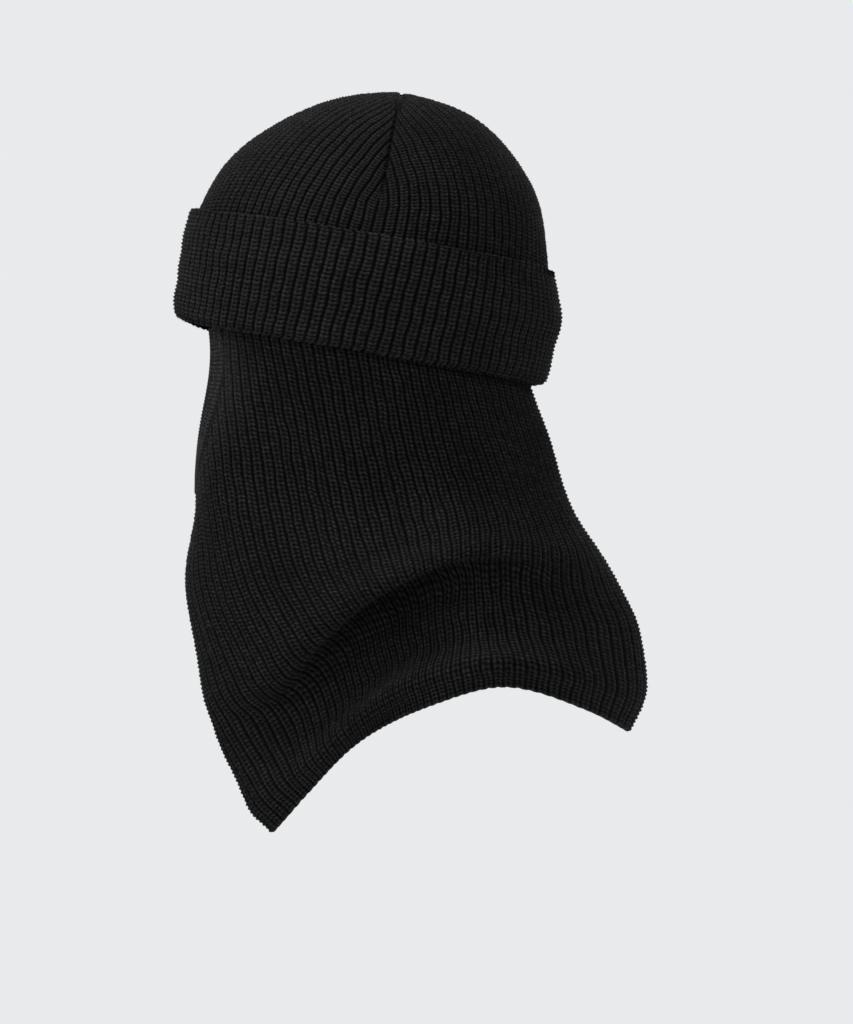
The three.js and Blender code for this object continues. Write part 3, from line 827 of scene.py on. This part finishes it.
def trim_seam(skin):
    place, turns, _ = opening_turns(skin, 1.5)
    inset = KNIT + BAND_PROUD + GAP + SEAM_THICKNESS / 2
    near = [place(turn, BAND_WIDTH - 0.5)[0] for turn in turns]
    far = [place(turn, BAND_WIDTH + 0.5)[0] for turn in turns]
    middle = [place(turn, BAND_WIDTH) for turn in turns]
    out = np.array([normal for _, normal in middle])
    centre = np.array([point for point, _ in middle]) - inset * out
    return chain(centre, np.array(far) - np.array(near), out, closed=False)


def back_seam():
    grid, normal, _ = cape_surface(np.array([CAPE_RIBS / 2]), np.linspace(0.01, 0.985, 200)[:, None])
    centre, out = grid[:, 0], normal[:, 0]
    centre = centre - (KNIT + GAP + SEAM_THICKNESS / 2) * out
    return chain(centre, np.broadcast_to([1.0, 0.0, 0.0], centre.shape), out, closed=False)


def care_label(skin):
    """A blank woven tape, folded over at its lower end, inside the nape."""
    columns, rows = 25, 29
    side = np.linspace(-LABEL_HALF_WIDTH, LABEL_HALF_WIDTH, columns)
    inset = KNIT + 2 * GAP + SEAM_THICKNESS
    faces = np.empty((2, rows, columns, 3))
    for c, x in enumerate(side):
        for r, height in enumerate(np.linspace(LABEL_TOP, LABEL_BOTTOM, rows)):
            point, normal = skin.at(x, height, False)
            for face, depth in enumerate((inset, inset + LABEL_THICKNESS)):
                faces[face, r, c] = point - depth * normal
    rings = np.concatenate([faces[0], faces[1][:, ::-1]], axis=1)
    mesh = Mesh()
    add_tube(mesh, rings, 0.2, closed=False)
    return mesh


# ---- the stage ---------------------------------------------------------------------------

PALE = (0.81, 0.825, 0.84)
AMBIENT = 0.12
FLOOR_RADIUS, FLOOR_HEIGHT, FLOOR_GLOW = 3.3, -0.78, 0.35
# Each lamp's name, place and size (m), and power (W).
LAMPS = [("top", (0.4, -1.0, 2.1), 1.2, 24), ("front", (1.2, -2.3, 0.5), 1.0, 13),
         ("side", (2.6, 0.5, 1.0), 0.8, 14), ("rear", (1.1, 1.9, 1.4), 1.0, 4),
         ("far side", (-2.4, 1.0, 1.0), 1.2, 18)]
LAMP_AIM = Vector((0, 0, -0.1))
CAMERA_AIM, CAMERA_DISTANCE = Vector((0, 0.0322, -0.122)), 3.0
CAMERA_SPAN, SENSOR = 0.584, 36    # the height it sees at its aim (m), and its sensor's (mm)


def stage():
    bpy.ops.mesh.primitive_circle_add(vertices=96, radius=FLOOR_RADIUS, fill_type="NGON",
                                      location=(0, 0, FLOOR_HEIGHT))
    floor = bpy.context.object
    floor.name = "floor"
    material = plain_material("floor_pale", PALE, 0.9)
    nodes, links = material.node_tree.nodes, material.node_tree.links
    seen = nodes.new("ShaderNodeLightPath")
    glow = nodes.new("ShaderNodeMath")
    glow.operation = "MULTIPLY"
    glow.inputs[1].default_value = FLOOR_GLOW
    links.new(seen.outputs["Is Camera Ray"], glow.inputs[0])
    shader = nodes["Principled BSDF"]
    shader.inputs["Emission Color"].default_value = (*PALE, 1)
    links.new(glow.outputs["Value"], shader.inputs["Emission Strength"])
    floor.data.materials.append(material)


def light(name, place, size, power):
    lamp = bpy.data.lights.new(name, "AREA")
    lamp.shape = "DISK"
    lamp.size = size
    lamp.energy = power
    lamp_object = bpy.data.objects.new(name, lamp)
    bpy.context.collection.objects.link(lamp_object)
    lamp_object.location = place
    lamp_object.rotation_euler = (LAMP_AIM - Vector(place)).to_track_quat("-Z", "Y").to_euler()


def lights():
    world = bpy.data.worlds.new("studio")
    bpy.context.scene.world = world
    world.use_nodes = True
    background = world.node_tree.nodes["Background"]
    background.inputs["Color"].default_value = (*PALE, 1)
    background.inputs["Strength"].default_value = 1.0
    dim = world.node_tree.nodes.new("ShaderNodeBackground")
    dim.inputs["Color"].default_value = (1, 1, 1, 1)
    dim.inputs["Strength"].default_value = AMBIENT
    seen = world.node_tree.nodes.new("ShaderNodeLightPath")
    mix = world.node_tree.nodes.new("ShaderNodeMixShader")
    join = world.node_tree.links.new
    join(seen.outputs["Is Camera Ray"], mix.inputs["Fac"])
    join(dim.outputs["Background"], mix.inputs[1])
    join(background.outputs["Background"], mix.inputs[2])
    join(mix.outputs["Shader"], world.node_tree.nodes["World Output"].inputs["Surface"])
    for lamp in LAMPS:
        light(*lamp)


def camera():
    lens = bpy.data.cameras.new("camera")
    view = bpy.data.objects.new("camera", lens)
    bpy.context.collection.objects.link(view)
    view.location = CAMERA_AIM + Vector((CAMERA_DISTANCE, 0, 0))
    view.rotation_euler = (math.pi / 2, 0, math.pi / 2)
    lens.sensor_fit = "VERTICAL"
    lens.sensor_height = SENSOR
    lens.lens = SENSOR * CAMERA_DISTANCE / CAMERA_SPAN
    bpy.context.scene.camera = view


# ---- assembly ----------------------------------------------------------------------------

bpy.context.scene.view_settings.view_transform = "Standard"
camera()
lights()
stage()
wool = yarn_material("black_wool", (0.0256, 0.0256, 0.0256), 0.10)
band_wool = yarn_material("band_wool", (0.0232, 0.0232, 0.0232), 0.10)
thread = yarn_material("linking_yarn", (0.013, 0.013, 0.013), 0.05)
tape = plain_material("woven_tape", (0.02, 0.02, 0.02), 0.55)
skin = CapeSkin()
pieces = {
    "crown_knit": crown().object("crown_knit", wool, "knit", "crown"),
    "cuff_knit": cuff().object("cuff_knit", wool, "knit", "cuff"),
    "cape_knit": cape().object("cape_knit", wool, "knit", "cape"),
    "opening_band": band(skin).object("opening_band", band_wool, "trim_knit", "opening_trim"),
    "label_tape": care_label(skin).object("label_tape", tape, "label_tape", "care_label"),
}
for quarter, place in enumerate(("front", "left", "back", "right")):
    dart_seam(quarter).object(f"dart_chain_{place}", thread, "thread", f"dart_seam_{place}")
join_seam().object("join_chain", thread, "thread", "join_seam")
trim_seam(skin).object("band_chain", thread, "thread", "trim_seam")
back_seam().object("back_chain", thread, "thread", "back_seam")
